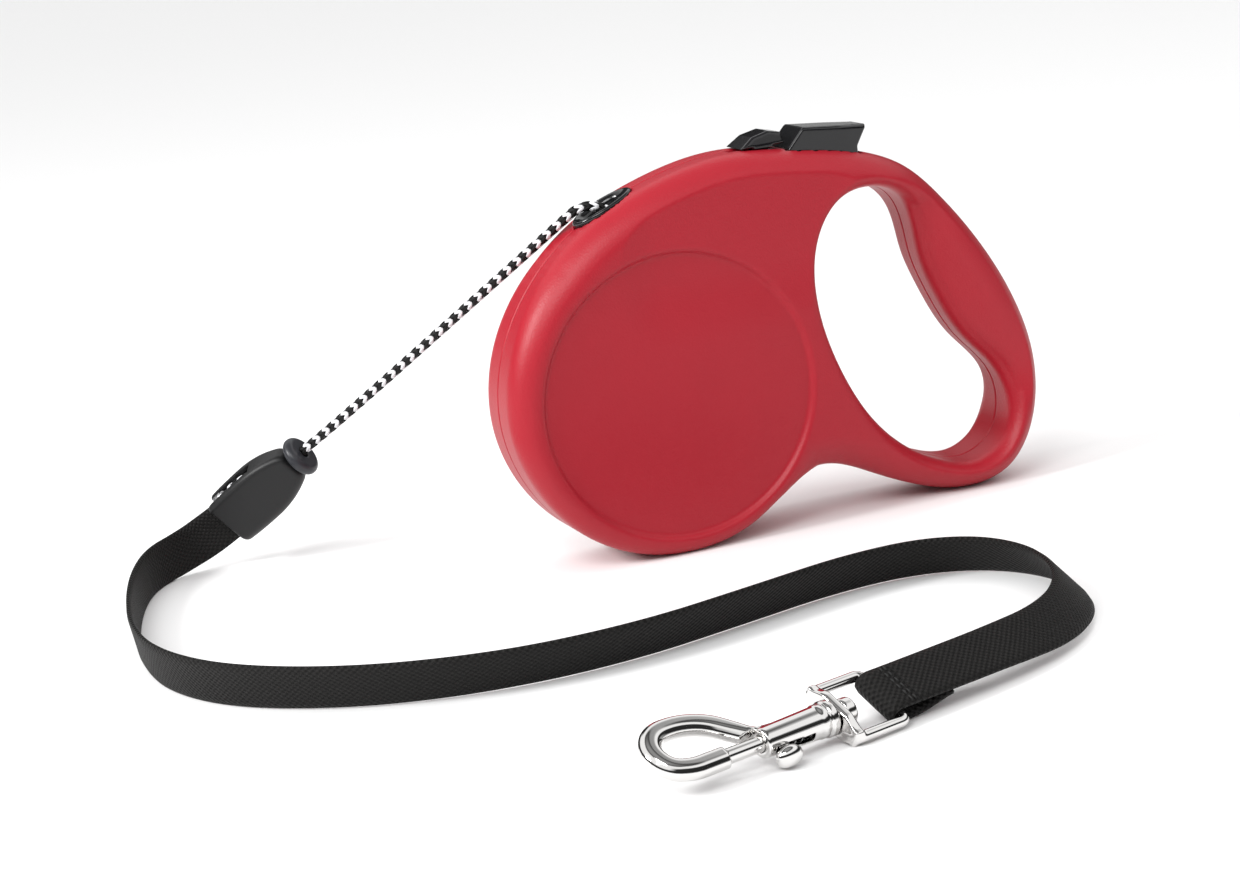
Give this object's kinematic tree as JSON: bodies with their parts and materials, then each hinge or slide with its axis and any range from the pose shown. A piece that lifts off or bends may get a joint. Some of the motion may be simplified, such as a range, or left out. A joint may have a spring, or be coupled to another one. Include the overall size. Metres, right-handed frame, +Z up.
{
  "type": "retractable leash",
  "caption": "Retractable cord leash: red casing with hand loop, brake button and lock, braided cord, webbing strap and swivel snap hook.",
  "frame": {"origin": "on the floor under the middle of the casing, which stands on its round body and its hand loop", "axes": "+X from the cord outlet to the hand loop, +Y through the casing to its far side, +Z up"},
  "size_m": [0.2829, 0.284, 0.1162],
  "materials": {
    "shell_red": "fine-grained satin red moulded plastic",
    "screw_steel": "zinc-plated steel",
    "outlet_black": "polished black moulded plastic",
    "axle_steel": "ground steel",
    "spool_plastic": "natural white moulded plastic",
    "spring_steel": "blued spring steel",
    "cord_braid": "black and white braided polyester cord",
    "button_black": "glossy black moulded plastic",
    "slider_plastic": "black acetal",
    "bead_grey": "dark grey moulded rubber",
    "connector_grey": "fine-grained dark grey moulded plastic",
    "strap_black": "black woven polyester webbing",
    "thread_black": "black sewing thread",
    "hook_chrome": "bright chrome plating"
  },
  "bodies": {
    "housing": {"near_shell": "shell_red", "far_shell": "shell_red", "housing_screws": "screw_steel", "cord_outlet": "outlet_black", "spool_axle": "axle_steel", "thrust_washers": "axle_steel", "cord": "cord_braid", "connector_body": "connector_grey", "connector_pin": "axle_steel", "cord_knot": "cord_braid", "strap": "strap_black", "strap_fold": "strap_black", "strap_stitching": "thread_black", "brake_spring": "spring_steel"},
    "spool": {"ratchet_flange": "spool_plastic", "spool_drum": "spool_plastic", "spring_cover": "spool_plastic", "power_spring": "spring_steel", "wound_cord": "cord_braid"},
    "brake": {"brake_button": "button_black", "brake_slider": "slider_plastic"},
    "lock": {"lock_slider": "button_black", "lock_retainer": "slider_plastic"},
    "bead": {"cord_bead": "bead_grey"},
    "ring": {"swivel_ring": "hook_chrome"},
    "hook": {"hook_body": "hook_chrome", "swivel_rivet": "hook_chrome", "bolt_spring": "spring_steel"},
    "bolt": {"hook_bolt": "hook_chrome"}
  },
  "joints": [
    {"name": "spool_spin", "type": "hinge", "parent": "housing", "child": "spool", "pos_m": [-0.0337, 0, 0.0466], "axis": [0, 1, 0], "continuous": true},
    {"name": "brake_press", "type": "slide", "parent": "housing", "child": "brake", "axis": [0, 0, -1], "range_m": [0, 0.0035], "stiffness_N_per_m": 900, "springref_m": -0.002, "deforming": ["brake_spring"]},
    {"name": "lock_slide", "type": "slide", "parent": "housing", "child": "lock", "axis": [-1, 0, 0], "range_m": [0, 0.003]},
    {"name": "bead_slide", "type": "slide", "parent": "housing", "child": "bead", "axis": [0.6445, -0.4983, 0.58], "range_m": [0, 0.015]},
    {"name": "ring_pivot", "type": "hinge", "parent": "housing", "child": "ring", "pos_m": [-0.05606, -0.18361, 0.00597], "axis": [-0.2565, 0.8449, 0.4695], "range_deg": [0, 35]},
    {"name": "hook_swivel", "type": "hinge", "parent": "ring", "child": "hook", "pos_m": [-0.07041, -0.18797, 0.00597], "axis": [0.9569, 0.2905, 0], "continuous": true},
    {"name": "bolt_slide", "type": "slide", "parent": "hook", "child": "bolt", "axis": [0.9569, 0.2905, 0], "range_m": [0, 0.008], "stiffness_N_per_m": 400, "springref_m": -0.002}
  ]
}
